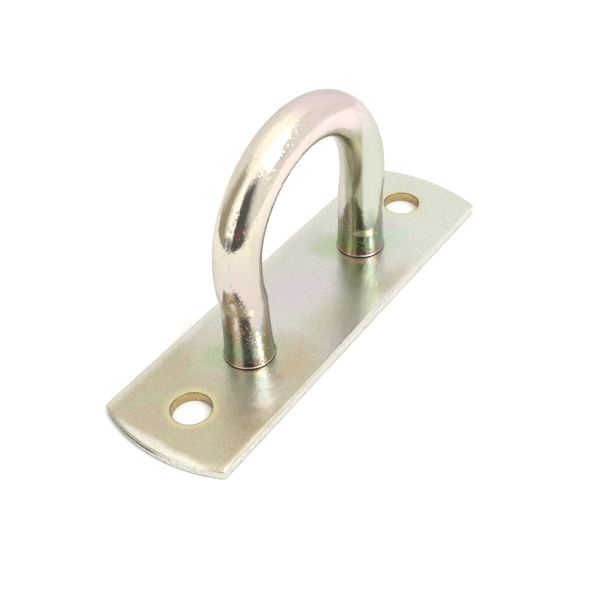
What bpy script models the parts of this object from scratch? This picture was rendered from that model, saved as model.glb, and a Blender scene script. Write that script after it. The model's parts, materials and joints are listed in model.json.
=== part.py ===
"""Pad eye: a bent round bar standing on a flat screw-down plate.

The bar's two legs end in turned-down tenons that pass through the plate and are plug-welded
from the back. Around each leg, where it meets the plate, lies a thin ring of upset metal.

Frame: the origin is the centre of the plate's back face, X runs along the plate and Z points
away from the surface that the plate is screwed to. All lengths are in metres.
"""

from math import acos, atan2, cos, pi, radians, sin

import bmesh
import bpy

MM = 0.001
FIT_GAP = 0.3 * MM                  # space kept between neighbouring pieces

# Base plate
PLATE_LENGTH = 90.0 * MM
PLATE_WIDTH = 26.5 * MM
PLATE_THICKNESS = 2.1 * MM
END_BULGE = 3.0 * MM                # how far each end arc stands out from its corners
CORNER_ROUNDING = 0.6 * MM
EDGE_ROLL = 0.45 * MM               # rounding of the upper edge, left by the blanking die
END_SEGMENTS = 20

# Screw holes
SCREW_SPACING = 69.0 * MM
SCREW_HOLE_RADIUS = 3.6 * MM

# Bow
BAR_RADIUS = 4.15 * MM              # round the top of the bow, where bending has drawn the bar thinner
LEG_RADIUS = 4.3 * MM
LEG_SPACING = 37.0 * MM             # between the centrelines of the two legs
ARCH_RADIUS = 19.3 * MM             # centreline of the top of the bow
ARCH_CENTRE_Z = 20.2 * MM
WAIST_RADIUS = 10.0 * MM            # centreline of the outward bend above each leg
THINNING_ANGLE = radians(40)        # of the arch, over which the leg's radius becomes the bar's
ARCH_SEGMENTS = 44
WAIST_SEGMENTS = 4
BAR_SIDES = 28

# Feet of the bow
FOOT_RADIUS = 4.65 * MM             # the leg is upset at its foot
FOOT_TOP_Z = 13.0 * MM              # the swelling ends here
TENON_RADIUS = 3.2 * MM
TENON_CHAMFER = 0.3 * MM

# Foot rings
RING_OUTER_RADIUS = 4.8 * MM
RING_HEIGHT = 0.5 * MM
RING_SIDES = 40

# Back welds
WELD_THICKNESS = 0.5 * MM
COUNTERSINK_RADIUS = 4.9 * MM       # at the back face of the plate
COUNTERSINK_DEPTH = 1.1 * MM

# Heights and radii that follow from the sizes above
LEG_X = LEG_SPACING / 2
LEG_HOLE_RADIUS = TENON_RADIUS + FIT_GAP
RING_BOTTOM_Z = PLATE_THICKNESS + FIT_GAP
SHOULDER_Z = RING_BOTTOM_Z + RING_HEIGHT + FIT_GAP
TENON_END_Z = WELD_THICKNESS + FIT_GAP


def clear_scene():
    for thing in list(bpy.data.objects):
        bpy.data.objects.remove(thing, do_unlink=True)


def metal(name, colour, roughness):
    material = bpy.data.materials.new(name)
    material.use_nodes = True
    shader = material.node_tree.nodes["Principled BSDF"]
    shader.inputs["Base Color"].default_value = (*colour, 1.0)
    shader.inputs["Metallic"].default_value = 1.0
    shader.inputs["Roughness"].default_value = roughness
    return material


def finished_mesh(name, bm):
    """Turn a closed bmesh into a mesh whose faces point outwards, with only its flat ends left flat."""
    bmesh.ops.recalc_face_normals(bm, faces=bm.faces)
    for face in bm.faces:
        face.smooth = abs(face.normal.z) < 0.999
    mesh = bpy.data.meshes.new(name)
    bm.to_mesh(mesh)
    bm.free()
    mesh.set_sharp_from_angle(angle=radians(35))
    return mesh


def add_part(name, mesh, parent, material=None, location=(0.0, 0.0, 0.0)):
    part = bpy.data.objects.new(name, mesh)
    part.parent = parent
    part.location = location
    if material:
        mesh.materials.clear()
        mesh.materials.append(material)
    bpy.context.scene.collection.objects.link(part)
    return part


def add_cutter(name, mesh, parent, location):
    cutter = add_part(name, mesh, parent, location=location)
    cutter.hide_render = True
    cutter.display_type = "WIRE"
    return cutter


def turned_mesh(name, profile, sides):
    """Turn a closed (radius, z) profile, which stays clear of the axis, about Z."""
    bm = bmesh.new()
    corners = [bm.verts.new((radius, 0.0, z)) for radius, z in profile]
    loop = [bm.edges.new((corners[i - 1], corners[i])) for i in range(len(corners))]
    bmesh.ops.spin(
        bm,
        geom=corners + loop,
        cent=(0.0, 0.0, 0.0),
        axis=(0.0, 0.0, 1.0),
        angle=2 * pi,
        steps=sides,
        use_merge=True,
    )
    bmesh.ops.remove_doubles(bm, verts=bm.verts, dist=0.001 * MM)
    return finished_mesh(name, bm)


def stacked_discs_mesh(name, profile, sides):
    """A solid turned body on Z, from (radius, z) pairs listed upwards."""
    bm = bmesh.new()
    lower = None
    for radius, z in profile:
        ring = []
        for i in range(sides):
            angle = 2 * pi * i / sides
            ring.append(bm.verts.new((radius * cos(angle), radius * sin(angle), z)))
        if lower is None:
            bm.faces.new(ring)
        else:
            join_rings(bm, lower, ring)
        lower = ring
    bm.faces.new(lower)
    return finished_mesh(name, bm)


def join_rings(bm, first, second):
    for i in range(len(first)):
        bm.faces.new((first[i - 1], first[i], second[i], second[i - 1]))


def plate_outline():
    """Outline of the plate seen from above: straight sides and an arc at each end."""
    half_width = PLATE_WIDTH / 2
    end_radius = (half_width ** 2 + END_BULGE ** 2) / (2 * END_BULGE)
    half_angle = atan2(half_width, end_radius - END_BULGE)
    points = []
    for side in (1, -1):
        centre_x = side * (PLATE_LENGTH / 2 - end_radius)
        for i in range(END_SEGMENTS + 1):
            angle = half_angle * (2 * i / END_SEGMENTS - 1)
            points.append((centre_x + side * end_radius * cos(angle), side * end_radius * sin(angle)))
    return points


def blank_mesh():
    """The blanked plate before its holes: rounded corners and a rolled upper edge."""
    bm = bmesh.new()
    outline = [bm.verts.new((x, y, 0.0)) for x, y in plate_outline()]
    face = bm.faces.new(outline)
    raised = bmesh.ops.extrude_face_region(bm, geom=[face])["geom"]
    top_verts = [item for item in raised if isinstance(item, bmesh.types.BMVert)]
    bmesh.ops.translate(bm, verts=top_verts, vec=(0.0, 0.0, PLATE_THICKNESS))

    corner_x = PLATE_LENGTH / 2 - END_BULGE
    corner_edges = []
    for edge in bm.edges:
        upright = abs(edge.verts[0].co.z - edge.verts[1].co.z) > PLATE_THICKNESS / 2
        at_corner = abs(abs(edge.verts[0].co.x) - corner_x) < 0.01 * MM
        if upright and at_corner:
            corner_edges.append(edge)
    bmesh.ops.bevel(bm, geom=corner_edges, offset=CORNER_ROUNDING, segments=3, profile=0.5, affect="EDGES")

    top_edges = [edge for edge in bm.edges if min(vert.co.z for vert in edge.verts) > PLATE_THICKNESS / 2]
    bmesh.ops.bevel(bm, geom=top_edges, offset=EDGE_ROLL, segments=3, profile=0.5, affect="EDGES")
    return finished_mesh("base_plate", bm)


def build_base_plate(parent, material):
    """The plate: two plain screw holes and two leg holes countersunk from the back."""
    plate = add_part("base_plate", blank_mesh(), parent, material)
    below = -1.0 * MM
    above = PLATE_THICKNESS + 1.0 * MM
    screw_hole = stacked_discs_mesh(
        "screw_hole_cutter",
        [(SCREW_HOLE_RADIUS, below), (SCREW_HOLE_RADIUS, above)],
        RING_SIDES,
    )
    leg_hole = stacked_discs_mesh(
        "leg_hole_cutter",
        [
            (COUNTERSINK_RADIUS, below),
            (COUNTERSINK_RADIUS, 0.0),
            (LEG_HOLE_RADIUS, COUNTERSINK_DEPTH),
            (LEG_HOLE_RADIUS, above),
        ],
        RING_SIDES,
    )
    for side, label in ((-1, "left"), (1, "right")):
        cutters = (
            add_cutter(f"screw_cutter_{label}", screw_hole, parent, (side * SCREW_SPACING / 2, 0.0, 0.0)),
            add_cutter(f"leg_cutter_{label}", leg_hole, parent, (side * LEG_X, 0.0, 0.0)),
        )
        for cutter in cutters:
            cut = plate.modifiers.new(cutter.name, "BOOLEAN")
            cut.operation = "DIFFERENCE"
            cut.solver = "EXACT"
            cut.object = cutter
    return plate


def left_leg_stations():
    """Stations of the left leg, from the tenon's end up: x, z, heading from the X axis, radius."""
    up = pi / 2
    heights = [
        (TENON_END_Z, TENON_RADIUS - TENON_CHAMFER),
        (TENON_END_Z + TENON_CHAMFER, TENON_RADIUS),
        (SHOULDER_Z, TENON_RADIUS),
        (SHOULDER_Z, FOOT_RADIUS),
    ]
    flare_steps = 4
    for i in range(1, flare_steps + 1):
        part = i / flare_steps
        z = SHOULDER_Z + (FOOT_TOP_Z - SHOULDER_Z) * part
        heights.append((z, LEG_RADIUS + (FOOT_RADIUS - LEG_RADIUS) * (1 - part) ** 2))
    return [(-LEG_X, z, up, radius) for z, radius in heights]


def bow_stations():
    """Stations along the whole bar: leg, waist bend, arch, waist bend, leg."""
    reach = ARCH_RADIUS + WAIST_RADIUS
    turn = acos((LEG_X + WAIST_RADIUS) / reach)
    waist_x = -(LEG_X + WAIST_RADIUS)
    waist_z = ARCH_CENTRE_Z - reach * sin(turn)
    stations = left_leg_stations()
    for i in range(WAIST_SEGMENTS):
        angle = turn * i / WAIST_SEGMENTS
        x = waist_x + WAIST_RADIUS * cos(angle)
        z = waist_z + WAIST_RADIUS * sin(angle)
        stations.append((x, z, pi / 2 + angle, LEG_RADIUS))
    half_arch = ARCH_SEGMENTS // 2
    for i in range(half_arch):
        bent = (pi / 2 + turn) * i / half_arch
        angle = pi + turn - bent
        x = ARCH_RADIUS * cos(angle)
        z = ARCH_CENTRE_Z + ARCH_RADIUS * sin(angle)
        thick = max(0.0, 1 - bent / THINNING_ANGLE)
        stations.append((x, z, angle - pi / 2, BAR_RADIUS + (LEG_RADIUS - BAR_RADIUS) * thick))
    crown = (0.0, ARCH_CENTRE_Z + ARCH_RADIUS, 0.0, BAR_RADIUS)
    mirrored = [(-x, z, -heading, radius) for x, z, heading, radius in reversed(stations)]
    return stations + [crown] + mirrored


def bow_mesh():
    """Sweep a circle along the bar's stations, which all lie in the XZ plane."""
    bm = bmesh.new()
    previous = None
    for x, z, heading, radius in bow_stations():
        ring = []
        for i in range(BAR_SIDES):
            angle = 2 * pi * i / BAR_SIDES
            across = radius * cos(angle)
            ring.append(
                bm.verts.new((x - across * sin(heading), radius * sin(angle), z + across * cos(heading)))
            )
        if previous is None:
            bm.faces.new(ring)
        else:
            join_rings(bm, previous, ring)
        previous = ring
    bm.faces.new(previous)
    return finished_mesh("bow", bm)


def foot_ring_mesh():
    """A thin ring with a rounded outer lip, lying between the leg's shoulder and the plate."""
    inner = LEG_HOLE_RADIUS
    lip = RING_HEIGHT / 2
    profile = [(inner, 0.0)]
    lip_steps = 4
    for i in range(lip_steps + 1):
        angle = pi * i / lip_steps - pi / 2
        profile.append((RING_OUTER_RADIUS - lip + lip * cos(angle), lip + lip * sin(angle)))
    profile.append((inner, RING_HEIGHT))
    return turned_mesh("foot_ring", profile, RING_SIDES)


def back_weld_mesh():
    """The plug weld that fills the countersink, ground flush with the back face."""
    slope = (COUNTERSINK_RADIUS - LEG_HOLE_RADIUS) / COUNTERSINK_DEPTH
    face_radius = COUNTERSINK_RADIUS - FIT_GAP * (1 + slope)
    inner_radius = face_radius - slope * WELD_THICKNESS
    return stacked_discs_mesh(
        "back_weld",
        [(face_radius, 0.0), (inner_radius, WELD_THICKNESS)],
        RING_SIDES,
    )


def build_pad_eye():
    clear_scene()
    root = bpy.data.objects.new("pad_eye", None)
    bpy.context.scene.collection.objects.link(root)

    build_base_plate(root, metal("zinc_plate", (0.66, 0.62, 0.50), 0.38))
    add_part("bow", bow_mesh(), root, metal("zinc_bar", (0.76, 0.70, 0.64), 0.24))

    ring_mesh = foot_ring_mesh()
    weld_mesh = back_weld_mesh()
    ring_metal = metal("upset_ring", (0.72, 0.58, 0.54), 0.30)
    weld_metal = metal("weld_bead", (0.56, 0.53, 0.45), 0.45)
    for side, label in ((-1, "left"), (1, "right")):
        add_part(f"foot_ring_{label}", ring_mesh, root, ring_metal, (side * LEG_X, 0.0, RING_BOTTOM_Z))
        add_part(f"back_weld_{label}", weld_mesh, root, weld_metal, (side * LEG_X, 0.0, 0.0))


build_pad_eye()
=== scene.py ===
"""Studio scene of the pad eye.

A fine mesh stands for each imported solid, with procedural zinc and chromate finishes. Lengths are
in metres in the row frame. The finishes work in millimetres. "Left" and the near end are at -X,
"right" and the far end at +X, and side is -1 or 1 for them.
"""

import json
from math import acos, asin, cos, degrees, hypot, pi, radians, sin, sqrt
from types import SimpleNamespace

import bmesh
import bpy
from mathutils import Euler, Matrix, Vector, noise
from mathutils.geometry import delaunay_2d_cdt


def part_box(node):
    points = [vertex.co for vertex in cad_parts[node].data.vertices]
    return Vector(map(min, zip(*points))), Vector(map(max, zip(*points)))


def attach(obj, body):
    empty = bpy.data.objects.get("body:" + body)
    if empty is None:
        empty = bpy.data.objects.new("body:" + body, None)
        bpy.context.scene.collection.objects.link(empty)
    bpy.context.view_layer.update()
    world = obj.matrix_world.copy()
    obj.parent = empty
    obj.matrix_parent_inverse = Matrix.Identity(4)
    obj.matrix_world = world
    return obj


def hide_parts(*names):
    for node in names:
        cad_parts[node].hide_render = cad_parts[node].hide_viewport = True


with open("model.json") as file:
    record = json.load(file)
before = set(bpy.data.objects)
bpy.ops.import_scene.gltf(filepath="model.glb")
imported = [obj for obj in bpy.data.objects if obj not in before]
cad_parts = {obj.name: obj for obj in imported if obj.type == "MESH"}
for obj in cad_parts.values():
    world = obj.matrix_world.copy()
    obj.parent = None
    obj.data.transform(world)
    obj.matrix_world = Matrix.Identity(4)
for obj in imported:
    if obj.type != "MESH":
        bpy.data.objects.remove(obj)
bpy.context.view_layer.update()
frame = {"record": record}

MM = 0.001
SIDES = {"left": -1, "right": 1}

# ---------------------------------------------------------------- sizes read from the frame
PLATE_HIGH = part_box("base_plate")[1]
HALF_LENGTH = PLATE_HIGH[0]
HALF_WIDTH = PLATE_HIGH[1]
PLATE_TOP = PLATE_HIGH[2]

BOW_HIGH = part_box("bow")[1]
FOOT_RADIUS = BOW_HIGH[1]
BAR_RADIUS = 4.15 * MM                   # round the top of the arch
LEG_RADIUS = {-1: 4.22 * MM, 1: 4.38 * MM}
LEG_LEAN = {-1: 0.32 * MM, 1: 0.0}       # how far each leg stands in from its hole's centre
ARCH_RADIUS = 19.3 * MM
ARCH_CENTRE_Z = BOW_HIGH[2] - BAR_RADIUS - ARCH_RADIUS
THINNING_RUN = 20.0 * MM                 # along the arch, from the leg's radius to the bar's
WAIST_RADIUS = 10.0 * MM
FOOT_TOP_Z = 13.0 * MM

RING_LOW, RING_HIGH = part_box("foot_ring_right")
LEG_X = (RING_LOW[0] + RING_HIGH[0]) / 2
RING_RADIUS = (RING_HIGH[0] - RING_LOW[0]) / 2

WELD_LOW, WELD_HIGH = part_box("back_weld_right")
WELD_THICKNESS = WELD_HIGH[2] - WELD_LOW[2]

OPENINGS = {opening["name"]: opening["box_m"] for opening in frame["record"]["physics"]["openings"]}
SCREW_LOW, SCREW_HIGH = OPENINGS["screw_hole_right"]
SCREW_X = (SCREW_LOW[0] + SCREW_HIGH[0]) / 2
SCREW_HOLE_RADIUS = 3.6 * MM

# ---------------------------------------------------------------- plate details
END_BULGE = 3.0 * MM
END_RADIUS = (HALF_WIDTH ** 2 + END_BULGE ** 2) / (2 * END_BULGE)
END_CENTRE_X = HALF_LENGTH - END_RADIUS
CORNER_ROUNDING = 0.55 * MM
OUTLINE_STEP = 0.4 * MM
SIDE_ROLL = (0.55 * MM, 0.28 * MM)       # width and depth of the die roll along the sides
END_ROLL = (1.7 * MM, 0.50 * MM)         # and over the end arcs
HOLE_ROLL = (0.35 * MM, 0.13 * MM)       # and round the screw holes
LEG_HOLE_RADIUS = 3.5 * MM
COUNTERSINK_RADIUS = 4.9 * MM
COUNTERSINK_DEPTH = 1.1 * MM
HOLE_SIDES = 112
FRONT_SPACING = 0.9 * MM
BACK_SPACING = 2.2 * MM

# Rows of points in from the outline, down the outer wall, and down a screw hole's wall.
INSETS = [step * MM for step in (0.015, 0.05, 0.11, 0.2, 0.32, 0.48, 0.7, 0.95, 1.25, 1.6, 2.0)]
HOLE_INSETS = INSETS[:6]
WALL_START = 0.5 * MM
WALL_DEPTHS = [step * MM for step in (
    0.54, 0.58, 0.62, 0.66, 0.70, 0.74, 0.8, 0.9, 1.0, 1.1, 1.2, 1.3, 1.45, 1.6, 1.75, 1.9, 2.03)]
HOLE_WALL_SHARES = (0.06, 0.2, 0.35, 0.5, 0.62, 0.7, 0.8, 0.9, 0.97)

TEAR_BELOW_TOP = 1.15 * MM               # where the sheared wall turns from smooth to torn
TEAR_RECESS = 0.035 * MM
TEAR_ROUGHNESS = 0.022 * MM
CRACK_BELOW_TOP = 0.66 * MM              # the split along the near end's wall
CRACK_HALF_HEIGHT = 0.09 * MM
CRACK_RECESS = 0.32 * MM


# ================================================================ small helpers
def clamp(value):
    """The value, kept between 0 and 1."""
    return max(0.0, min(1.0, value))


def smooth(value, low, high):
    """0 below low, 1 above high, with an even S between."""
    part = clamp((value - low) / (high - low))
    return part * part * (3 - 2 * part)


def add_piece(name, verts, faces, material, node, sharp=40):
    """One closed, smooth-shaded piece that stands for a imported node."""
    mesh = bpy.data.meshes.new(name)
    mesh.from_pydata(verts, [], faces)
    bm = bmesh.new()
    bm.from_mesh(mesh)
    bmesh.ops.recalc_face_normals(bm, faces=bm.faces)
    bm.to_mesh(mesh)
    bm.free()
    mesh.shade_smooth()
    mesh.set_sharp_from_angle(angle=radians(sharp))
    mesh.materials.append(material)
    piece = bpy.data.objects.new(name, mesh)
    bpy.context.scene.collection.objects.link(piece)
    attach(piece, "root")
    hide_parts(node)
    return piece


def strip(first, second):
    """Quads between two closed loops of vertex numbers."""
    return [(first[i - 1], first[i], second[i], second[i - 1]) for i in range(len(first))]


# ================================================================ base plate
def plate_outline():
    """Outline of the plate, anticlockwise from above, with small rounds at the four corners."""
    half_angle = asin(HALF_WIDTH / END_RADIUS)
    corner_x = HALF_LENGTH - END_BULGE
    arc_steps = round(2 * half_angle * END_RADIUS / OUTLINE_STEP)
    side_steps = round(2 * corner_x / OUTLINE_STEP)
    corner_steps = 5
    points = []
    for side in (1, -1):
        trim = half_angle - CORNER_ROUNDING / END_RADIUS
        for i in range(arc_steps + 1):
            angle = trim * (2 * i / arc_steps - 1)
            points.append((side * (END_CENTRE_X + END_RADIUS * cos(angle)), side * END_RADIUS * sin(angle)))
        arc_end = points[-1]
        corner = (side * corner_x, side * HALF_WIDTH)
        side_start = (side * (corner_x - CORNER_ROUNDING), side * HALF_WIDTH)
        points += quarter_turn(arc_end, corner, side_start, corner_steps)
        for i in range(side_steps + 1):
            x = side * (corner_x - CORNER_ROUNDING) * (1 - 2 * i / side_steps)
            points.append((x, side * HALF_WIDTH))
        far_corner = (-side * corner_x, side * HALF_WIDTH)
        angle = -trim
        next_arc = (-side * (END_CENTRE_X + END_RADIUS * cos(angle)), -side * END_RADIUS * sin(angle))
        points += quarter_turn(points[-1], far_corner, next_arc, corner_steps)
    return points


def quarter_turn(start, corner, end, steps):
    """The points between start and end of a curve that rounds the corner."""
    points = []
    for i in range(1, steps):
        t = i / steps
        points.append(tuple(
            (1 - t) ** 2 * a + 2 * t * (1 - t) * b + t ** 2 * c for a, b, c in zip(start, corner, end)
        ))
    return points


def circle(centre_x, radius, count):
    """Points round a circle in XY whose centre is on the X axis."""
    return [
        (centre_x + radius * cos(2 * pi * i / count), radius * sin(2 * pi * i / count))
        for i in range(count)
    ]


def roll(distance, size):
    """Drop of a rolled edge at a distance from it: a quarter of an ellipse."""
    width, depth = size
    part = clamp(distance / width)
    return depth * (1 - sqrt(1 - (1 - part) ** 2))


def side_distance(y):
    """How far a point is in from the nearer straight side."""
    return HALF_WIDTH - abs(y)


def end_distance(x, y):
    """How far a point is in from the nearer end arc."""
    return END_RADIUS - hypot(abs(x) - END_CENTRE_X, y)


def top_height(x, y):
    """Height of the plate's front face: flat, rolled over at its edges and screw holes."""
    wander = 1 + 0.18 * noise.noise(Vector((x / (7 * MM), y / (7 * MM), 3.1)))
    drop = roll(side_distance(y), SIDE_ROLL) + roll(end_distance(x, y), END_ROLL) * wander
    for side in SIDES.values():
        drop += roll(hypot(x - side * SCREW_X, y) - SCREW_HOLE_RADIUS, HOLE_ROLL)
    waviness = 0.006 * MM * noise.noise(Vector((x / (9 * MM), y / (9 * MM), 0.0)))
    return PLATE_TOP - drop + waviness - 0.006 * MM


def outward_normals(loop):
    """Unit normals of a closed anticlockwise loop, pointing away from the area inside it."""
    normals = []
    for i in range(len(loop)):
        dx = loop[(i + 1) % len(loop)][0] - loop[i - 1][0]
        dy = loop[(i + 1) % len(loop)][1] - loop[i - 1][1]
        length = hypot(dx, dy)
        normals.append((dy / length, -dx / length))
    return normals


def face_points(loops, holes, spacing, graded):
    """Points and triangles of a flat region: its boundary loops, rows near its edge and a grid."""
    points = [point for loop in loops for point in loop]
    edges = []
    start = 0
    for loop in loops:
        count = len(loop)
        edges += [(start + i, start + (i + 1) % count) for i in range(count)]
        start += count
    clear = spacing
    if graded:
        outline = loops[0]
        for inset in INSETS:
            for (x, y), (nx, ny) in zip(outline, outward_normals(outline)):
                px, py = x - nx * inset, y - ny * inset
                if min(side_distance(py), end_distance(px, py)) > inset * 0.97:
                    points.append((px, py))
        for (centre_x, radius), loop in zip(holes, loops[1:]):
            for inset in HOLE_INSETS:
                points += circle(centre_x, radius + inset, len(loop))
        clear = INSETS[-1] + spacing / 2
    columns = int(2 * HALF_LENGTH / spacing)
    rows = int(2 * HALF_WIDTH / spacing)
    for i in range(columns + 1):
        for j in range(rows + 1):
            x = -HALF_LENGTH + 2 * HALF_LENGTH * i / columns
            y = -HALF_WIDTH + 2 * HALF_WIDTH * j / rows
            near_edge = min(side_distance(y), end_distance(x, y)) < clear
            near_hole = any(hypot(x - hx, y) < radius + 0.9 * spacing for hx, radius in holes)
            if not near_edge and not near_hole:
                points.append((x, y))
    in_mm = [Vector((x / MM, y / MM)) for x, y in points]
    found = delaunay_2d_cdt(in_mm, edges, [], 0, 1e-6)
    points = [(point.x * MM, point.y * MM) for point in found[0]]
    triangles = []
    for triangle in found[2]:
        cx = sum(points[k][0] for k in triangle) / 3
        cy = sum(points[k][1] for k in triangle) / 3
        if all(hypot(cx - hx, cy) > radius * 0.995 for hx, radius in holes):
            triangles.append(tuple(triangle))
    return points, triangles


def shear_wall(x, y, depth):
    """How far the sheared outer wall lies inside the outline, at a depth below the front face."""
    rough = noise.noise(Vector((x / (0.9 * MM), y / (0.9 * MM), depth / (0.5 * MM))))
    line = noise.noise(Vector((x / (2.4 * MM), y / (2.4 * MM), 7.7)))
    torn_at = TEAR_BELOW_TOP + 0.22 * MM * line
    torn = smooth(depth, torn_at, torn_at + 0.12 * MM)
    recess = (TEAR_RECESS + TEAR_ROUGHNESS * rough) * torn
    if x < -HALF_LENGTH + 2 * END_BULGE:
        reach = smooth(y, -5 * MM, 0.0) * (1 - smooth(y, 9 * MM, 12.5 * MM))
        crack_at = CRACK_BELOW_TOP + 0.05 * MM * line
        opening = clamp(1 - abs(depth - crack_at) / CRACK_HALF_HEIGHT)
        recess += CRACK_RECESS * reach * opening * (0.8 + 0.5 * rough)
    return recess


def outer_wall(loop, heights):
    """Rows of points down the outer wall; heights are those of the loop's points on the front."""
    normals = outward_normals(loop)
    rows = []
    for depth in WALL_DEPTHS:
        share = (depth - WALL_START) / (PLATE_TOP - WALL_START)
        row = []
        for (x, y), (nx, ny), top in zip(loop, normals, heights):
            z = top * (1 - share)
            recess = shear_wall(x, y, PLATE_TOP - z)
            row.append((x - nx * recess, y - ny * recess, z))
        rows.append(row)
    return rows


def screw_hole_wall(loop, heights, centre_x):
    """Rows down a screw hole's wall, which is a little wider and rougher below its middle."""
    rows = []
    for share in HOLE_WALL_SHARES:
        row = []
        for (x, y), top in zip(loop, heights):
            rough = noise.noise(Vector((x / (0.8 * MM), y / (0.8 * MM), share * 3)))
            widening = 1 + 0.010 * smooth(share, 0.5, 0.7) * (0.6 + 0.8 * rough)
            row.append((centre_x + (x - centre_x) * widening, y * widening, top * (1 - share)))
        rows.append(row)
    return rows


def leg_hole_wall(loop):
    """The one row where a leg's hole opens into its countersink."""
    return [[(x, y, COUNTERSINK_DEPTH) for x, y in loop]]


def build_plate(material):
    """The plate as one closed mesh: front face, back face, outer wall and the walls of its holes."""
    outline = plate_outline()
    screw_holes = [(side * SCREW_X, SCREW_HOLE_RADIUS) for side in SIDES.values()]
    front_holes = screw_holes + [(side * LEG_X, LEG_HOLE_RADIUS) for side in SIDES.values()]
    back_holes = screw_holes + [(side * LEG_X, COUNTERSINK_RADIUS) for side in SIDES.values()]
    front_loops = [outline] + [circle(x, radius, HOLE_SIDES) for x, radius in front_holes]
    back_loops = [outline] + [circle(x, radius, HOLE_SIDES) for x, radius in back_holes]
    front_points, front_triangles = face_points(front_loops, front_holes, FRONT_SPACING, graded=True)
    back_points, back_triangles = face_points(back_loops, back_holes, BACK_SPACING, graded=False)

    verts = [(x, y, top_height(x, y)) for x, y in front_points]
    back_start = len(verts)
    verts += [(x, y, 0.0) for x, y in back_points]
    faces = list(front_triangles)
    faces += [tuple(back_start + k for k in reversed(triangle)) for triangle in back_triangles]

    start = 0
    for number, loop in enumerate(front_loops):
        upper = list(range(start, start + len(loop)))
        heights = [verts[k][2] for k in upper]
        if number == 0:
            rows = outer_wall(loop, heights)
        elif number <= len(screw_holes):
            rows = screw_hole_wall(loop, heights, screw_holes[number - 1][0])
        else:
            rows = leg_hole_wall(loop)
        previous = upper
        for row in rows:
            current = list(range(len(verts), len(verts) + len(row)))
            verts += row
            faces += strip(previous, current)
            previous = current
        faces += strip(previous, [back_start + k for k in upper])
        start += len(loop)
    return add_piece("base_plate_fine", verts, faces, material, "base_plate")


# ================================================================ bow
REACH = ARCH_RADIUS + WAIST_RADIUS
WAIST_TURN = acos((LEG_X + WAIST_RADIUS) / REACH)
WAIST_Z = ARCH_CENTRE_Z - REACH * sin(WAIST_TURN)
ARCH_RUN = ARCH_RADIUS * (pi / 2 + WAIST_TURN)
WAIST_RUN = WAIST_RADIUS * WAIST_TURN
LEG_RUN = WAIST_Z - PLATE_TOP
TENON_RADIUS = 3.45 * MM
LEAN_START, LEAN_END = 29 * MM, 21 * MM  # heights between which a leg leans in to its place

DENT_DEPTH = 0.022 * MM
FINE_DENT_DEPTH = 0.010 * MM
FOOT_STREAK_DEPTH = 0.035 * MM
FLARE, FLARE_HEIGHT = 0.16 * MM, 2.6 * MM      # the spread just above the ring
TUCK, TUCK_HEIGHT = 0.22 * MM, 0.55 * MM       # and the neck under it


def bar_frame(s):
    """Centre (x, z) of the bar and its outward normal in XZ, at a run s from the crown."""
    (x, z), normal = true_frame(s)
    side = -1 if s < 0 else 1
    lean = LEG_LEAN[side] * (1 - smooth(z, LEAN_END, LEAN_START))
    return (x - side * lean, z), normal


def true_frame(s):
    """What bar_frame gives, for a bow whose legs stand over the centres of their holes."""
    side = -1 if s < 0 else 1
    run = abs(s)
    if run <= ARCH_RUN:
        angle = run / ARCH_RADIUS
        normal = (side * sin(angle), cos(angle))
        return (side * ARCH_RADIUS * sin(angle), ARCH_CENTRE_Z + ARCH_RADIUS * cos(angle)), normal
    if run <= ARCH_RUN + WAIST_RUN:
        angle = WAIST_TURN - (run - ARCH_RUN) / WAIST_RADIUS
        x = side * (LEG_X + WAIST_RADIUS - WAIST_RADIUS * cos(angle))
        return (x, WAIST_Z + WAIST_RADIUS * sin(angle)), (side * cos(angle), -sin(angle))
    return (side * LEG_X, WAIST_Z - (run - ARCH_RUN - WAIST_RUN)), (side, 0.0)


def bar_radius(s, theta):
    """Radius of the bar at run s, with its swollen foot and small dents."""
    z = bar_frame(s)[0][1]
    side = -1 if s < 0 else 1
    leg_radius = LEG_RADIUS[side]
    radius = leg_radius + (BAR_RADIUS - leg_radius) * smooth(ARCH_RUN - abs(s), 0.0, THINNING_RUN)
    straight = Vector((s / (6 * MM), 1.3 * cos(theta), 1.3 * sin(theta)))
    radius += DENT_DEPTH * noise.noise(straight)
    radius += FINE_DENT_DEPTH * noise.noise(straight * 4.3)
    if z < FOOT_TOP_Z:
        rise = (FOOT_TOP_Z - z) / (FOOT_TOP_Z - PLATE_TOP)
        radius += (FOOT_RADIUS - leg_radius) * rise ** 1.8
        streaks = Vector((s / (7 * MM), 2.6 * cos(theta), 2.6 * sin(theta)))
        radius += FOOT_STREAK_DEPTH * noise.noise(streaks) * smooth(rise, 0.0, 0.4)
        lift = z - PLATE_TOP
        radius += FLARE * clamp(1 - lift / FLARE_HEIGHT) ** 2
        radius -= TUCK * (1 - smooth(lift, 0.0, TUCK_HEIGHT))
    return radius


def bar_runs():
    """Runs of the bar's cross-sections, finer along the legs than round the arch."""
    arch_end = ARCH_RUN + WAIST_RUN
    half = [arch_end * i / 110 for i in range(110)]
    leg_steps = 84
    half += [arch_end + LEG_RUN * i / leg_steps for i in range(leg_steps + 1)]
    return [-run for run in reversed(half[1:])] + half


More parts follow.
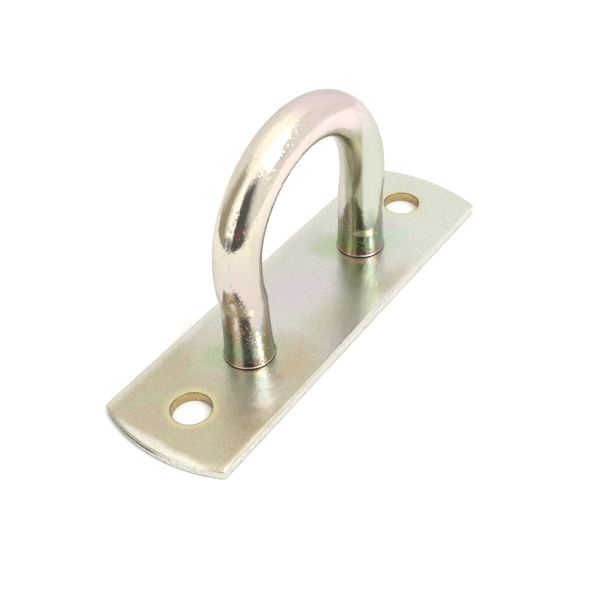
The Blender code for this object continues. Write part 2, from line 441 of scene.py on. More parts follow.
def build_bow(material):
    """The bent bar with its tenons, and its unbent shape kept as an attribute for the finish."""
    sides = 120
    verts = []
    unbent = []
    faces = []

    def add_section(s, centre, normal, radii):
        """Points of one cross-section, whose numbers are returned."""
        row = []
        for i, radius in enumerate(radii):
            theta = 2 * pi * i / sides
            out, across = radius * cos(theta), radius * sin(theta)
            row.append(len(verts))
            verts.append((centre[0] + out * normal[0], across, centre[1] + out * normal[1]))
            unbent.append((s, out, across))
        return row

    def tenon(side):
        """Sections of one tenon, from the plate's front down to its end."""
        rows = []
        radii = [TENON_RADIUS] * sides
        for drop in (0.0, PLATE_TOP - WELD_THICKNESS):
            s = side * (ARCH_RUN + WAIST_RUN + LEG_RUN + drop)
            rows.append(add_section(s, (side * LEG_X, PLATE_TOP - drop), (side, 0.0), radii))
        return rows

    rows = list(reversed(tenon(-1)))
    for s in bar_runs():
        centre, normal = bar_frame(s)
        radii = [bar_radius(s, 2 * pi * i / sides) for i in range(sides)]
        rows.append(add_section(s, centre, normal, radii))
    rows += tenon(1)
    for upper, lower in zip(rows, rows[1:]):
        faces += strip(upper, lower)
    faces.append(tuple(rows[0]))
    faces.append(tuple(rows[-1]))
    piece = add_piece("bow_fine", verts, faces, material, "bow")
    attribute = piece.data.attributes.new("unbent", "FLOAT_VECTOR", "POINT")
    attribute.data.foreach_set("vector", [value for point in unbent for value in point])
    return piece


# ================================================================ foot rings and back welds
# The lip's section: how far each point is out from the ring's edge and up from the plate, in
# millimetres.
RING_SECTION = (
    (-0.80, 0.02), (-0.50, 0.02), (-0.36, 0.14), (-0.14, 0.17), (-0.03, 0.23), (0.0, 0.30),
    (-0.03, 0.38), (-0.10, 0.44), (-0.20, 0.47), (-0.32, 0.46), (-0.46, 0.44), (-0.80, 0.40),
)
WELD_CLEARANCE = 0.06 * MM


def build_ring(label, side, material):
    """The thin lip round a foot, undercut where it meets the plate, with an uneven edge."""
    sides = 150
    centre_x = side * (LEG_X - LEG_LEAN[side])
    verts = []
    rows = []
    for i in range(sides):
        angle = 2 * pi * i / sides
        around = Vector((2.2 * cos(angle), 2.2 * sin(angle), 5.0 * side))
        spread = 0.05 * MM * noise.noise(around) + 0.02 * MM * noise.noise(around * 5)
        lift = 1 + 0.18 * noise.noise(around * 1.7)
        row = []
        for reach, height in RING_SECTION:
            radius = RING_RADIUS + reach * MM + spread
            row.append(len(verts))
            z = PLATE_TOP + height * MM * lift
            verts.append((centre_x + radius * cos(angle), radius * sin(angle), z))
        rows.append(row)
    faces = []
    for i in range(sides):
        faces += strip(rows[i - 1], rows[i])
    name = f"foot_ring_{label}"
    return add_piece(f"{name}_fine", verts, faces, material, name, sharp=70)


def build_weld(label, side, material):
    """The plug weld in its countersink: a ground face with a fine sunken seam at its rim."""
    sides = 96
    rings = 22
    outer = COUNTERSINK_RADIUS - WELD_CLEARANCE
    verts = []
    loops = []
    for k in range(rings, 0, -1):
        radius = outer * k / rings
        loop = []
        for i in range(sides):
            angle = 2 * pi * i / sides
            x, y = radius * cos(angle), radius * sin(angle)
            dish = 0.02 + 0.05 * smooth(radius, outer * 0.93, outer)
            dish += 0.02 * noise.noise(Vector((x / (1.5 * MM), y / (1.5 * MM), 9.0 * side)))
            loop.append(len(verts))
            verts.append((side * LEG_X + x, y, max(0.004, dish) * MM))
        loops.append(loop)
    slope = (COUNTERSINK_RADIUS - LEG_HOLE_RADIUS) / COUNTERSINK_DEPTH
    top = list(range(len(verts), len(verts) + sides))
    rim = circle(side * LEG_X, outer - slope * WELD_THICKNESS, sides)
    verts += [(x, y, WELD_THICKNESS) for x, y in rim]
    faces = strip(top, loops[0])
    for first, second in zip(loops, loops[1:]):
        faces += strip(first, second)
    faces.append(tuple(loops[-1]))
    faces.append(tuple(top))
    name = f"back_weld_{label}"
    return add_piece(f"{name}_fine", verts, faces, material, name)


# ================================================================ shader building
class Shader:
    """Builds the nodes of one material or world; all methods but finish return an output socket."""

    def __init__(self, owner):
        owner.use_nodes = True
        self.owner = owner
        self.tree = owner.node_tree

    def node(self, kind, inputs=(), **settings):
        node = self.tree.nodes.new(kind)
        for key, value in settings.items():
            setattr(node, key, value)
        for key, value in dict(inputs).items():
            if isinstance(value, bpy.types.NodeSocket):
                self.tree.links.new(value, node.inputs[key])
            elif value is not None:
                node.inputs[key].default_value = value
        return node

    def math(self, operation, first, second=None):
        inputs = {0: first, 1: second}
        return self.node("ShaderNodeMath", inputs, operation=operation).outputs[0]

    def add(self, first, second):
        return self.math("ADD", first, second)

    def times(self, first, second):
        return self.math("MULTIPLY", first, second)

    def uneven(self, value, pattern, reach):
        """The value pushed up and down by up to half of reach, after a pattern of 0 to 1."""
        return self.add(value, self.times(self.add(pattern, -0.5), reach))

    def step(self, value, low, high, out_low=0.0, out_high=1.0):
        """A smooth step from out_low at low to out_high at high."""
        inputs = {0: value, 1: low, 2: high, 3: out_low, 4: out_high}
        return self.node("ShaderNodeMapRange", inputs, interpolation_type="SMOOTHSTEP").outputs[0]

    def fade(self, value, full, gone, strength=1.0):
        """The strength below full, falling smoothly to 0 at gone."""
        return self.step(value, full, gone, strength, 0.0)

    def window(self, value, edges):
        """1 between the two middle edges, fading to 0 at the outer two."""
        start, full, end, out = edges
        return self.times(self.step(value, start, full), self.fade(value, end, out))

    def mix(self, factor, first, second, blend="MIX"):
        inputs = {0: factor, 6: first, 7: second}
        return self.node("ShaderNodeMix", inputs, data_type="RGBA", blend_type=blend).outputs[2]

    def scaled(self, vector, x, y, z):
        inputs = {0: vector, 1: (x, y, z)}
        return self.node("ShaderNodeVectorMath", inputs, operation="MULTIPLY").outputs[0]

    def distance(self, vector, point):
        inputs = {0: vector, 1: point}
        return self.node("ShaderNodeVectorMath", inputs, operation="DISTANCE").outputs["Value"]

    def line_distance(self, vector, start, end):
        """Distance from the straight line between two points in XY."""
        dx, dy = end[0] - start[0], end[1] - start[1]
        x, y = self.parts(vector)[0:2]
        along = self.add(self.times(x, dx), self.times(y, dy))
        along = self.add(along, -start[0] * dx - start[1] * dy)
        share = self.node("ShaderNodeMapRange", {0: along, 1: 0.0, 2: dx * dx + dy * dy}).outputs[0]
        nearest = self.node("ShaderNodeCombineXYZ", {
            0: self.add(self.times(share, dx), start[0]),
            1: self.add(self.times(share, dy), start[1]),
        }).outputs[0]
        return self.distance(vector, nearest)

    def parts(self, vector):
        return self.node("ShaderNodeSeparateXYZ", {0: vector}).outputs

    def noise(self, vector, scale, detail=3.0, rough=0.55, warp=0.0):
        inputs = {"Vector": vector, "Scale": scale, "Detail": detail, "Roughness": rough,
                  "Distortion": warp}
        return self.node("ShaderNodeTexNoise", inputs).outputs[0]

    def cells(self, vector, scale):
        inputs = {"Vector": vector, "Scale": scale}
        return self.node("ShaderNodeTexVoronoi", inputs).outputs["Distance"]

    def bump(self, height, strength, distance, normal=None):
        inputs = {"Height": height, "Strength": strength, "Distance": distance, "Normal": normal}
        return self.node("ShaderNodeBump", inputs).outputs[0]

    def object_mm(self):
        """Position in the row frame, in millimetres."""
        place = self.node("ShaderNodeTexCoord").outputs["Object"]
        return self.scaled(place, 1 / MM, 1 / MM, 1 / MM)

    def warped(self, vector, scale, reach):
        """The vector pushed about unevenly by up to half of reach."""
        node = self.node("ShaderNodeTexNoise", {"Vector": vector, "Scale": scale, "Detail": 4.0})
        centred = self.node("ShaderNodeVectorMath", {0: node.outputs["Color"], 1: (0.5, 0.5, 0.5)},
                            operation="SUBTRACT").outputs[0]
        inputs = {0: centred, 1: (reach, reach, 0.0), 2: vector}
        return self.node("ShaderNodeVectorMath", inputs, operation="MULTIPLY_ADD").outputs[0]

    def dimmed(self, colour, amount):
        """The colour times an amount of about 1."""
        grey = self.node("ShaderNodeCombineColor", {0: amount, 1: amount, 2: amount}).outputs[0]
        return self.mix(1.0, colour, grey, "MULTIPLY")

    def finish(self, colour, roughness, normal, grazing):
        """The metal with these inputs; grazing is how bright it stays at glancing angles."""
        surface = self.tree.nodes["Principled BSDF"]
        surface.inputs["Metallic"].default_value = 1.0
        surface.inputs["Specular Tint"].default_value = (grazing, grazing, grazing, 1.0)
        for key, value in (("Base Color", colour), ("Roughness", roughness), ("Normal", normal)):
            self.tree.links.new(value, surface.inputs[key])
        return self.owner


def new_shader(name):
    """The builder of a new material."""
    return Shader(bpy.data.materials.new(name))


def srgb(red, green, blue):
    """A colour given as seen on screen, 0 to 255, in linear light."""
    def linear(value):
        value /= 255
        return value / 12.92 if value <= 0.04045 else ((value + 0.055) / 1.055) ** 2.4
    return (linear(red), linear(green), linear(blue), 1.0)


# ================================================================ finish of the plate
KHAKI = srgb(195, 184, 158)
STRAW_GREEN = srgb(193, 189, 158)
TAN = srgb(200, 180, 148)
PALE = srgb(215, 213, 204)
PALE_GREEN = srgb(226, 229, 214)
GREEN = srgb(172, 192, 148)
LILAC = srgb(220, 204, 214)
GOLD = srgb(228, 219, 160)
MINT = srgb(200, 222, 204)
BRONZE = srgb(196, 172, 124)
EDGE_GREY = srgb(226, 225, 216)
ROLL_SHEEN_PALE = srgb(232, 228, 216)
GLARE_PALE = srgb(242, 242, 238)
DARK_SPECK_AND_SHADE = srgb(96, 92, 74)
CRACK_SHADE = srgb(40, 34, 28)

# Soft patches of tint on the plate: tint, centre in XY, stretch along X and Y, the radii where
# the tint is full and where it has gone (all in millimetres), and strength.
PATCHES_UNDER_GLARE = (
    (LILAC, (0.5, 2.5), (1, 1), 2.0, 9.0, 0.65),
    (TAN, (-16.8, -8.2), (0.45, 1), 0.5, 5.0, 0.8),
    (PALE, (-26.0, -9.0), (0.8, 1), 1.0, 6.0, 0.6),
    (GREEN, (-22.2, 3.6), (1, 1), 1.5, 4.2, 0.45),
    (KHAKI, (-12.5, -4.5), (1, 1), 1.0, 5.0, 0.5),
    (STRAW_GREEN, (-4.0, -7.0), (0.6, 1), 1.0, 6.0, 0.5),
    (GREEN, (14.5, 5.0), (1, 1), 1.5, 6.0, 0.55),
)
PATCHES_OVER_GLARE = (
    (MINT, (24.0, -4.5), (1, 1), 1.0, 5.5, 0.6),
    (LILAC, (26.5, -1.5), (1, 1), 0.5, 4.0, 0.5),
    (TAN, (12.0, -11.0), (0.3, 1), 0.3, 2.6, 0.5),
)
# Painted glare in front of the feet, as pale, gritty streaks: start and end in XY and reach, in
# millimetres.
GLARE_STREAKS = (
    ((-20.4, -5.8), (-26.5, -9.6), 2.6),
    ((14.6, -5.4), (13.4, -6.4), 3.2),
)


def add_patch(shader, colour, warped, patch):
    """The colour with one soft-edged, uneven patch of tint over it."""
    tint, centre, stretch, full, gone, strength = patch
    grown = shader.scaled(warped, *stretch, 0)
    middle = (centre[0] * stretch[0], centre[1] * stretch[1], 0.0)
    amount = shader.fade(shader.distance(grown, middle), full, gone, strength)
    return shader.mix(amount, colour, tint)


def plate_clouds(shader, flat, clouds):
    """Large clouds of colour, straw and khaki at the near end and pale green at the far end."""
    along = shader.uneven(shader.parts(flat)[0], clouds, 22.0)
    hues = shader.noise(shader.scaled(flat, 0.7, 1, 1), 0.16, detail=4, rough=0.65, warp=0.8)
    straw = shader.mix(shader.step(hues, 0.40, 0.56), STRAW_GREEN, KHAKI)
    straw = shader.mix(shader.step(hues, 0.54, 0.66, 0.0, 0.7), straw, TAN)
    colour = shader.mix(shader.step(along, -32.0, -6.0), straw, PALE)
    return shader.mix(shader.step(along, 6.0, 34.0, 0.0, 0.75), colour, PALE_GREEN)


def add_halos(shader, colour, flat, warped, patches):
    """Green round the feet and gold round the screw holes."""
    for side in SIDES.values():
        foot = shader.distance(warped, (side * LEG_X / MM, 0.0, 0.0))
        colour = shader.mix(shader.fade(foot, 4.8, 8.0, 0.25), colour, GREEN)
        hole = shader.distance(flat, (side * SCREW_X / MM, 0.0, 0.0))
        hole = shader.uneven(hole, patches, 1.4)
        colour = shader.mix(shader.fade(hole, 3.8, 5.5, 0.55), colour, GOLD)
    return colour


def add_edge_sheen(shader, colour, flat, patches):
    """A painted sheen: paler over the rolled sides and ends."""
    x, y = shader.parts(flat)[0:2]
    half_length, half_width = HALF_LENGTH / MM, HALF_WIDTH / MM
    side_reach = shader.uneven(shader.math("ABSOLUTE", shader.add(y, 0.6)), patches, 2.4)
    sides = shader.step(side_reach, half_width - 1.95, half_width + 0.15, 0.0, 0.7)
    colour = shader.mix(sides, colour, ROLL_SHEEN_PALE)
    end_reach = shader.uneven(shader.math("ABSOLUTE", x), patches, 1.5)
    ends = shader.step(end_reach, half_length - 2.6, half_length - 1.2, 0.0, 0.8)
    return shader.mix(ends, colour, ROLL_SHEEN_PALE)


def add_grain(shader, colour, place, flat, patches):
    """Rolling grain, fine mottling, dark specks and painted shade as a dark line under each foot ring."""
    grain = shader.noise(shader.scaled(place, 0.8, 3.4, 1), 1.0, detail=5, rough=0.75)
    colour = shader.dimmed(colour, shader.step(grain, 0.34, 0.66, 0.95, 1.03))
    mottle = shader.noise(flat, 2.4, detail=4, rough=0.85)
    colour = shader.dimmed(colour, shader.step(mottle, 0.36, 0.62, 0.90, 1.04))
    specks = shader.fade(shader.cells(shader.scaled(place, 0.8, 1.2, 1), 0.8), 0.05, 0.12, 0.7)
    specks = shader.times(specks, shader.step(patches, 0.48, 0.58))
    colour = shader.mix(specks, colour, DARK_SPECK_AND_SHADE)
    # Painted shade: a dark line on the plate just outside each foot ring.
    for side in SIDES.values():
        foot = shader.distance(flat, (side * (LEG_X - LEG_LEAN[side]) / MM, 0.0, 0.0))
        colour = shader.mix(shader.fade(foot, 4.72, 4.98, 0.9), colour, DARK_SPECK_AND_SHADE)
    return colour


def add_wall_colours(shader, colour, place, flat, blotches):
    """The blotchy grey outer wall and the bronze hole walls, with painted shade as dark rims round the
    screw holes and darker at the bottom.
    """
    z = shader.parts(place)[2]
    top = PLATE_TOP / MM
    hole = SCREW_HOLE_RADIUS / MM
    wall = shader.fade(z, top - 0.62, top - 0.40)
    near_hole = shader.math("MINIMUM", *[
        shader.distance(flat, (side * SCREW_X / MM, 0.0, 0.0)) for side in SIDES.values()])
    wall_colour = shader.dimmed(EDGE_GREY, shader.step(blotches, 0.36, 0.58, 0.70, 1.06))
    colour = shader.mix(wall, colour, wall_colour)
    bronze = shader.dimmed(BRONZE, shader.step(blotches, 0.36, 0.64, 0.72, 1.12))
    in_hole = shader.fade(near_hole, hole + 0.04, hole + 0.14)
    colour = shader.mix(in_hole, colour, bronze)
    # Painted shade: a dark line round each screw hole's rim.
    rim = shader.fade(near_hole, hole + 0.12, hole + 0.26, 0.6)
    rim = shader.times(rim, shader.step(z, top - 0.40, top - 0.15))
    colour = shader.mix(rim, colour, DARK_SPECK_AND_SHADE)
    # Painted shade: darker towards z = 0, a dark line along the walls' lower edge that also darkens the
    # back face.
    return shader.mix(shader.fade(z, 0.05, 0.20, 0.6), colour, DARK_SPECK_AND_SHADE)


def crack_shade_mask(shader, place, blotches):
    """1 in the painted shade of the split along the near end's wall, ragged and broken at its ends."""
    x, y, z = shader.parts(place)[0:3]
    near_end = -HALF_LENGTH / MM
    middle = (PLATE_TOP - CRACK_BELOW_TOP) / MM - 0.10
    height = shader.math("ABSOLUTE", shader.add(z, -middle))
    line = shader.fade(height, 0.18, 0.30)
    whole = shader.times(shader.step(blotches, 0.30, 0.40), shader.window(y, (-3, 1, 10, 13)))
    broken = shader.step(blotches, 0.56, 0.62)
    line = shader.times(line, shader.math("MAXIMUM", whole, broken))
    return shader.times(line, shader.step(x, near_end + 5.5, near_end + 4.0))


def plate_relief(shader, place, glare_patch):
    """Fine matt grain, faint rolling lines and grit in the streaks of painted glare in front of the feet.
    """
    fine = shader.noise(place, 3.6, detail=4, rough=0.85)
    lines = shader.noise(shader.scaled(place, 0.8, 5.0, 1), 1.0, detail=4, rough=0.7)
    grit = shader.fade(shader.cells(place, 2.3), 0.08, 0.40)
    normal = shader.bump(fine, 0.7, 0.035 * MM)
    normal = shader.bump(lines, 0.16, 0.02 * MM, normal)
    return shader.bump(shader.times(grit, glare_patch), 1.0, 0.06 * MM, normal)


def plate_material():
    """Yellow-passivated zinc on rolled strip, with a sheared wall round its rim."""
    shader = new_shader("zinc_plate_finish")
    place = shader.object_mm()
    flat = shader.scaled(place, 1, 1, 0)
    warped = shader.warped(flat, 0.30, 4.0)
    clouds = shader.noise(flat, 0.10, detail=4, warp=0.6)
    patches = shader.noise(shader.scaled(place, 1, 1.3, 0), 0.22, detail=5)
    blotches = shader.noise(place, 1.8, detail=4, rough=0.8)
    crack_shade = crack_shade_mask(shader, place, blotches)
    streaks = [shader.fade(shader.line_distance(warped, start, end), 0.0, reach)
               for start, end, reach in GLARE_STREAKS]
    glare_patch = shader.math("MAXIMUM", *streaks)

    colour = plate_clouds(shader, flat, clouds)
    for patch in PATCHES_UNDER_GLARE:
        colour = add_patch(shader, colour, warped, patch)
    # Painted glare: pale streaks in front of the feet.
    colour = shader.mix(shader.times(glare_patch, 0.30), colour, GLARE_PALE)
    for patch in PATCHES_OVER_GLARE:
        colour = add_patch(shader, colour, warped, patch)
    colour = add_halos(shader, colour, flat, warped, patches)
    colour = add_edge_sheen(shader, colour, flat, patches)
    colour = add_grain(shader, colour, place, flat, patches)
    colour = add_wall_colours(shader, colour, place, flat, blotches)
    # Painted shade in the split along the near end's wall.
    colour = shader.mix(crack_shade, colour, CRACK_SHADE)

    roughness = shader.step(clouds, 0.3, 0.7, 0.17, 0.23)
    roughness = shader.add(roughness, shader.times(crack_shade, 0.5))
    return shader.finish(colour, roughness, plate_relief(shader, place, glare_patch), 0.9)


# ================================================================ finish of the bar
CREAM = srgb(208, 200, 187)
PINK = srgb(211, 196, 191)
CROWN_PINK = srgb(236, 219, 215)
BAR_MINT = srgb(198, 206, 188)
OLIVE = srgb(164, 157, 108)
REFLECTED_DARK_OLIVE = srgb(146, 141, 104)
SCRATCH = srgb(232, 226, 184)
TEAL = srgb(182, 204, 192)
BUTTER = srgb(222, 215, 194)
BAR_TAN = srgb(196, 178, 154)
REFLECTED_SMOKE = srgb(68, 72, 58)
REFLECTED_BROWN = srgb(150, 134, 108)
ROSE = srgb(206, 158, 150)
UMBER = srgb(110, 96, 62)
REFLECTED_MOSS = srgb(132, 140, 80)
REFLECTED_LEAF = srgb(156, 182, 112)
REFLECTED_SILVER = srgb(174, 190, 192)
REFLECTED_SEA_GREY = srgb(140, 160, 144)

# The direction across each leg in which its painted reflections are laid out, the tints of its dark
# and bright painted reflections, and the place of the scratch on the far leg in millimetres.
BREADTH_TURN = {-1: radians(-47.0), 1: radians(-57.0)}
REFLECTION_STREAK_TINTS = {-1: (REFLECTED_SMOKE, REFLECTED_SILVER), 1: (REFLECTED_MOSS, REFLECTED_SEA_GREY)}
SCRATCH_PLACE = (14.9, -2.9, 7.9)
SCRATCH_FLATNESS = 2.2


def leg_breadth(shader, place, side):
    """Distance across one leg from its centre line, in millimetres."""
    turn = BREADTH_TURN[side]
    x, y = shader.parts(place)[0:2]
    x = shader.add(x, side * (LEG_LEAN[side] - LEG_X) / MM)
    return shader.add(shader.times(x, cos(turn)), shader.times(y, sin(turn)))


def bar_patterns(shader):
    """Places in millimetres and noises of 0 to 1 that the parts of the bar's finish share.

    place is in the row frame, and straight runs along the bar before it was bent.
    """
    unbent = shader.node("ShaderNodeAttribute", attribute_name="unbent").outputs["Vector"]
    straight = shader.scaled(unbent, 1 / MM, 1 / MM, 1 / MM)
    bar = SimpleNamespace(place=shader.object_mm(), straight=straight)
    bar.x, _, bar.z = shader.parts(bar.place)[0:3]
    bar.out = shader.parts(straight)[1]
    bar.bands = shader.noise(shader.scaled(straight, 0.10, 0.35, 0.35), 1.0, detail=3, warp=0.4)
    bar.blots = shader.noise(shader.scaled(straight, 0.25, 0.5, 0.5), 1.0, detail=5)
    bar.streaks = shader.noise(shader.scaled(straight, 0.09, 1.3, 1.3), 1.0, detail=4, rough=0.7)
    bar.low = shader.uneven(bar.z, bar.blots, 5.0)
    bar.foot = shader.fade(shader.uneven(bar.z, bar.bands, 10.0), 9.0, 13.5)
    bar.tall = shader.fade(shader.uneven(bar.z, bar.bands, 6.0), 13.0, 18.0)
    return bar


def arch_colour(shader, bar):
    """Cream and pink bands, pinker at the crown, mint on the far side and teal at the feet, with a painted
    reflection as a dark olive band inside the arch on the far side.
    """
    colour = shader.mix(shader.step(bar.bands, 0.38, 0.60), PINK, CREAM)
    colour = shader.mix(shader.step(bar.z, 26.0, 38.0, 0.0, 0.8), colour, CROWN_PINK)
    shoulder = shader.times(shader.step(bar.x, 4.0, -7.0), shader.step(bar.out, -1.0, 2.5))
    shoulder = shader.times(shoulder, shader.step(bar.z, 23.0, 31.0, 0.0, 0.75))
    colour = shader.mix(shoulder, colour, BUTTER)
    upper = shader.step(bar.z, 22.0, 30.0, 0.0, 0.22)
    colour = shader.mix(shader.times(upper, shader.step(bar.streaks, 0.46, 0.70)), colour, BAR_TAN)
    far_side = shader.step(bar.x, 4.0, 18.0, 0.0, 0.85)
    far_side = shader.times(far_side, shader.fade(bar.z, 26.0, 38.0))
    colour = shader.mix(far_side, colour, BAR_MINT)
    # Painted reflection: a dark olive band inside the arch on the far side.
    inside = shader.fade(shader.uneven(bar.out, bar.blots, 1.8), -4.3, -3.4, 0.6)
    inside = shader.times(inside, shader.step(bar.x, 0.0, 10.0))
    inside = shader.times(inside, shader.step(bar.z, 27.0, 33.0))
    colour = shader.mix(inside, colour, REFLECTED_DARK_OLIVE)
    colour = shader.mix(shader.fade(bar.low, 5.0, 11.0, 0.8), colour, TEAL)
    return shader.mix(shader.step(bar.blots, 0.56, 0.68, 0.0, 0.15), colour, OLIVE)


def add_painted_far_leg_reflections(shader, colour, bar):
    """Painted reflections on the far leg: a pink edge, an olive middle and a leaf green foot."""
    breadth = leg_breadth(shader, bar.place, SIDES["right"])
    on_far = shader.times(shader.step(bar.x, 4.0, 8.0), shader.fade(bar.z, 30.0, 36.0))
    edge = shader.times(shader.fade(breadth, -3.4, -2.6, 0.8), on_far)
    colour = shader.mix(edge, colour, PINK)
    middle = shader.times(shader.window(breadth, (-3.2, -2.3, 0.2, 0.8)), on_far)
    colour = shader.mix(shader.times(middle, 0.72), colour, REFLECTED_DARK_OLIVE)
    leaf_reflection = shader.fade(bar.low, 4.0, 9.0, 0.75)
    leaf_reflection = shader.times(leaf_reflection, shader.fade(breadth, 0.8, 1.8))
    return shader.mix(shader.times(leaf_reflection, on_far), colour, REFLECTED_LEAF)


def add_painted_leg_reflections(shader, colour, bar, side, broken):
    """Painted reflections: dark, bright and brown streaks that run down one leg, unevenly, to its foot."""
    dark_reflection_tint, bright_reflection_tint = REFLECTION_STREAK_TINTS[side]
    breadth = shader.uneven(leg_breadth(shader, bar.place, side), bar.streaks, 1.4)
    on_leg = shader.step(bar.x, -side * 1.0, side * 1.0)
    foot = shader.times(bar.foot, on_leg)
    middle = shader.times(shader.window(breadth, (-1.6, -1.1, 0.0, 0.6)), bar.tall)
    flank = shader.times(shader.window(breadth, (-6, -5, -3.3, -2.6)), bar.foot)
    dark = shader.times(shader.times(shader.add(middle, flank), on_leg), broken)
    # Painted reflections: dark, then bright, then brown streaks mixed into the colour.
    colour = shader.mix(shader.times(dark, 0.72), colour, dark_reflection_tint)
    bright = shader.times(shader.window(breadth, (0.7, 1.3, 2.4, 3.0)), foot)
    colour = shader.mix(shader.times(bright, 0.8), colour, bright_reflection_tint)
    brown = shader.times(shader.window(breadth, (2.2, 2.9, 3.6, 4.3)), foot)
    return shader.mix(shader.times(brown, 0.55), colour, REFLECTED_BROWN)


def scratch_mask(shader, place):
    """1 in the pale scratch, flatter than it is wide, with torn edges."""
    x, y, z = SCRATCH_PLACE
    torn = shader.scaled(shader.warped(place, 1.6, 2.4), 1, 1, SCRATCH_FLATNESS)
    away = shader.distance(torn, (x, y, z * SCRATCH_FLATNESS))
    return shader.fade(away, 1.3, 2.3, 0.9)


def bar_relief(shader, bar):
    """A faint orange peel and drawing lines, with small dimples where the bar was worked."""
    drawn = shader.noise(shader.scaled(bar.straight, 0.18, 4.5, 4.5), 1.0, detail=4, rough=0.65)
    peel = shader.noise(bar.straight, 2.2, detail=3, rough=0.6)
    dimples = shader.cells(shader.warped(bar.straight, 3.0, 0.5), 1.7)
    dimples = shader.fade(dimples, 0.10, 0.42)
    scattered = shader.step(bar.blots, 0.48, 0.62, 0.22, 1.0)
    brow = shader.times(shader.window(bar.x, (-16, -13, -3, 1)), shader.step(bar.z, 29.0, 33.0))
    worked = shader.math("MAXIMUM", scattered, shader.math("MAXIMUM", bar.foot, brow))
    normal = shader.bump(peel, 0.22, 0.05 * MM)
    normal = shader.bump(drawn, 0.08, 0.02 * MM, normal)
    return shader.bump(shader.times(dimples, worked), 1.0, 0.024 * MM, normal)


def bar_roughness(shader, bar, scratch):
    """Bright, duller at the crown, down the far leg and in the scratch."""
    roughness = shader.step(bar.blots, 0.3, 0.7, 0.05, 0.10)
    roughness = shader.add(roughness, shader.step(bar.z, 30.0, 40.0, 0.0, 0.10))
    far_leg = shader.step(bar.x, 4.0, 9.0, 0.0, 0.12)
    far_leg = shader.times(far_leg, shader.window(bar.z, (10, 15, 30, 36)))
    roughness = shader.add(roughness, far_leg)
    return shader.add(roughness, shader.times(scratch, 0.2))


def bar_material():
    """Bright zinc on drawn bar: cream and pink bands, greener and duller towards the feet, with painted
    reflections on the legs and inside the arch.
    """
    shader = new_shader("zinc_bar_finish")
    bar = bar_patterns(shader)
    # Painted reflections on the far leg, then down both legs.
    colour = add_painted_far_leg_reflections(shader, arch_colour(shader, bar), bar)
    broken = shader.step(shader.noise(bar.straight, 2.0, detail=3, rough=0.8), 0.36, 0.56, 1.0, 0.35)
    for side in SIDES.values():
        colour = add_painted_leg_reflections(shader, colour, bar, side, broken)
    base = shader.fade(bar.z, PLATE_TOP / MM + 0.4, PLATE_TOP / MM + 3.4, 0.7)
    colour = shader.mix(shader.times(base, shader.step(bar.bands, 0.42, 0.56)), colour, ROSE)
    pits = shader.fade(shader.cells(bar.straight, 0.8), 0.04, 0.10, 0.6)
    colour = shader.mix(pits, colour, UMBER)
    scratch = scratch_mask(shader, bar.place)
    colour = shader.mix(scratch, colour, SCRATCH)
    return shader.finish(colour, bar_roughness(shader, bar, scratch), bar_relief(shader, bar), 0.75)


# ================================================================ finish of the rings and welds
RING_PINK = srgb(216, 188, 186)
RING_GREY = srgb(208, 200, 192)
WELD_STRAW = srgb(190, 184, 160)
WELD_GOLD = srgb(206, 196, 160)
WELD_PIT = srgb(120, 112, 92)


def ring_material():
    """The pinkish, bright lip round each foot."""
    shader = new_shader("foot_ring_finish")
    place = shader.object_mm()
    blots = shader.noise(place, 0.8, detail=4)
    colour = shader.mix(shader.step(blots, 0.4, 0.6), RING_PINK, RING_GREY)
    fine = shader.noise(place, 5.0, detail=3)
    normal = shader.bump(fine, 0.3, 0.04 * MM)
    roughness = shader.step(blots, 0.3, 0.7, 0.16, 0.28)
    return shader.finish(colour, roughness, normal, 0.85)


def weld_material():
    """Ground and plated plug weld: straight grinding lines and small pits."""
    shader = new_shader("back_weld_finish")
    place = shader.object_mm()
    lines = shader.noise(shader.scaled(place, 0.5, 7.0, 1), 1.0, detail=5, rough=0.7)
    pits = shader.fade(shader.cells(place, 1.4), 0.0, 0.16)
    blots = shader.noise(place, 0.4, detail=4)
    colour = shader.mix(shader.step(blots, 0.4, 0.6), WELD_STRAW, WELD_GOLD)
    colour = shader.mix(shader.times(pits, 0.6), colour, WELD_PIT)
    normal = shader.bump(lines, 0.5, 0.04 * MM)
    normal = shader.bump(pits, 0.6, -0.05 * MM, normal)
    roughness = shader.step(blots, 0.3, 0.7, 0.36, 0.48)
    return shader.finish(colour, roughness, normal, 0.85)


# ================================================================ stage, light and camera
CAMERA_PLACE = (-110.56 * MM, -84.32 * MM, 125.89 * MM)
CAMERA_HEADING = radians(37.97)          # direction of view seen from above, from +X
CAMERA_PITCH = radians(-41.99)
CAMERA_ROLL = radians(3.705)
CAMERA_LENS = 58.4
FLOOR_RADIUS = 0.28
FLOOR_DROP = 0.02 * MM                   # keeps the paper and the plate apart


def add_camera():
    """The camera at the place, slant and focal length above."""
    data = bpy.data.cameras.new("camera")
    data.lens = CAMERA_LENS
    data.sensor_width = 36.0
    data.clip_start = 1 * MM
    data.clip_end = 20.0
    camera = bpy.data.objects.new("camera", data)
    camera.location = CAMERA_PLACE
    level = Euler((pi / 2 + CAMERA_PITCH, 0.0, CAMERA_HEADING - pi / 2)).to_matrix()
    camera.rotation_euler = (level @ Matrix.Rotation(-CAMERA_ROLL, 3, "Z")).to_euler()
    bpy.context.scene.collection.objects.link(camera)
    bpy.context.scene.camera = camera


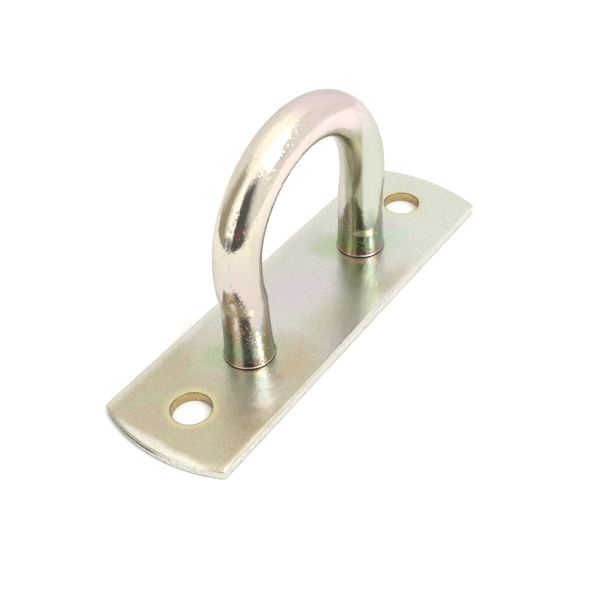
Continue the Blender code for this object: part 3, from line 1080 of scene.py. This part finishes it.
# Named parts of the studio seen in the metal, in degrees. Bearings run from the camera's direction,
# positive to its right; each range is (start of fade in, full, end of full, end of fade out).
STUDIO = (
    ("horizon", (-125, -105, 10, 40), (-30, -14, 3, 9), (0.42, 0.41, 0.38)),
    ("fill panel", (-62, -54, -30, -27), (4, 10, 56, 66), (1.45, 1.45, 1.43)),
    ("side gap", (-120, -94, -75, -65), (-30, -12, 44, 62), (0.46, 0.42, 0.32)),
    ("panel foot", (-70, -60, -28, -24), (-30, -12, 3, 8), (0.30, 0.33, 0.32)),
    ("camera gap", (-29, -26, 6, 34), (-30, -12, 42, 58), (0.12, 0.12, 0.13)),
    ("stand", (62, 66, 70, 76), (8, 20, 50, 60), (0.55, 0.58, 0.66)),
    ("low light", (45, 49, 58, 62), (28, 36, 50, 58), (9.5, 9.5, 9.5)),
    ("red corner", (-20, -13, -2, 6), (2, 6, 11, 18), (0.26, 0.12, 0.11)),
)
STUDIO_WALL = (0.98, 0.98, 0.98, 1.0)
STUDIO_CEILING = (1.38, 1.38, 1.36, 1.0)


def add_world():
    """A pale studio all round, whose panels and gaps the metal reflects."""
    world = bpy.data.worlds.new("studio")
    bpy.context.scene.world = world
    shader = Shader(world)
    direction = shader.node("ShaderNodeTexCoord").outputs["Generated"]
    x, y, z = shader.parts(direction)[0:3]
    facing = CAMERA_HEADING + pi
    bearing = shader.math("ARCTAN2",
                          shader.add(shader.times(x, -sin(facing)), shader.times(y, cos(facing))),
                          shader.add(shader.times(x, cos(facing)), shader.times(y, sin(facing))))
    bearing = shader.times(bearing, degrees(1.0))
    elevation = shader.times(shader.math("ARCSINE", z), degrees(1.0))
    colour = shader.mix(shader.step(elevation, 40.0, 66.0), STUDIO_WALL, STUDIO_CEILING)
    for _, across, upward, brightness in STUDIO:
        inside = shader.times(shader.window(bearing, across), shader.window(elevation, upward))
        colour = shader.mix(inside, colour, (*brightness, 1.0))
    seen = shader.node("ShaderNodeLightPath").outputs["Is Camera Ray"]
    colour = shader.mix(seen, colour, (1.0, 1.0, 1.0, 1.0))
    background = world.node_tree.nodes["Background"]
    world.node_tree.links.new(colour, background.inputs["Color"])
    background.inputs["Strength"].default_value = 1.0


def add_softbox(name, bearing, elevation, size, distance, radiance):
    """A square area light facing the object, placed by its bearing from the camera."""
    data = bpy.data.lights.new(name, "AREA")
    data.shape = "SQUARE"
    data.size = size
    data.energy = radiance * pi * size ** 2
    light = bpy.data.objects.new(name, data)
    turn = CAMERA_HEADING + pi + radians(bearing)
    rise = radians(elevation)
    towards = Vector((cos(turn) * cos(rise), sin(turn) * cos(rise), sin(rise)))
    light.location = towards * distance
    light.rotation_euler = towards.to_track_quat("Z", "Y").to_euler()
    light.visible_camera = False
    bpy.context.scene.collection.objects.link(light)


def add_floor():
    """A round sheet of white paper under the plate."""
    mesh = bpy.data.meshes.new("floor")
    rim = circle(0.0, FLOOR_RADIUS, 96)
    mesh.from_pydata([(x, y, 0.0) for x, y in rim], [], [tuple(range(len(rim)))])
    floor = bpy.data.objects.new("floor", mesh)
    floor.location.z = -FLOOR_DROP
    bpy.context.scene.collection.objects.link(floor)
    material = bpy.data.materials.new("white_paper")
    material.use_nodes = True
    surface = material.node_tree.nodes["Principled BSDF"]
    surface.inputs["Base Color"].default_value = (0.96, 0.96, 0.96, 1.0)
    surface.inputs["Roughness"].default_value = 0.9
    surface.inputs["Specular IOR Level"].default_value = 0.1
    mesh.materials.append(material)


# ================================================================ scene
add_camera()
add_world()
add_softbox("key_light", bearing=56, elevation=61, size=0.60, distance=1.3, radiance=3.6)
add_floor()
bpy.context.scene.view_settings.view_transform = "Standard"

build_plate(plate_material())
build_bow(bar_material())
ring_finish = ring_material()
weld_finish = weld_material()
for label, side in SIDES.items():
    build_ring(label, side, ring_finish)
    build_weld(label, side, weld_finish)
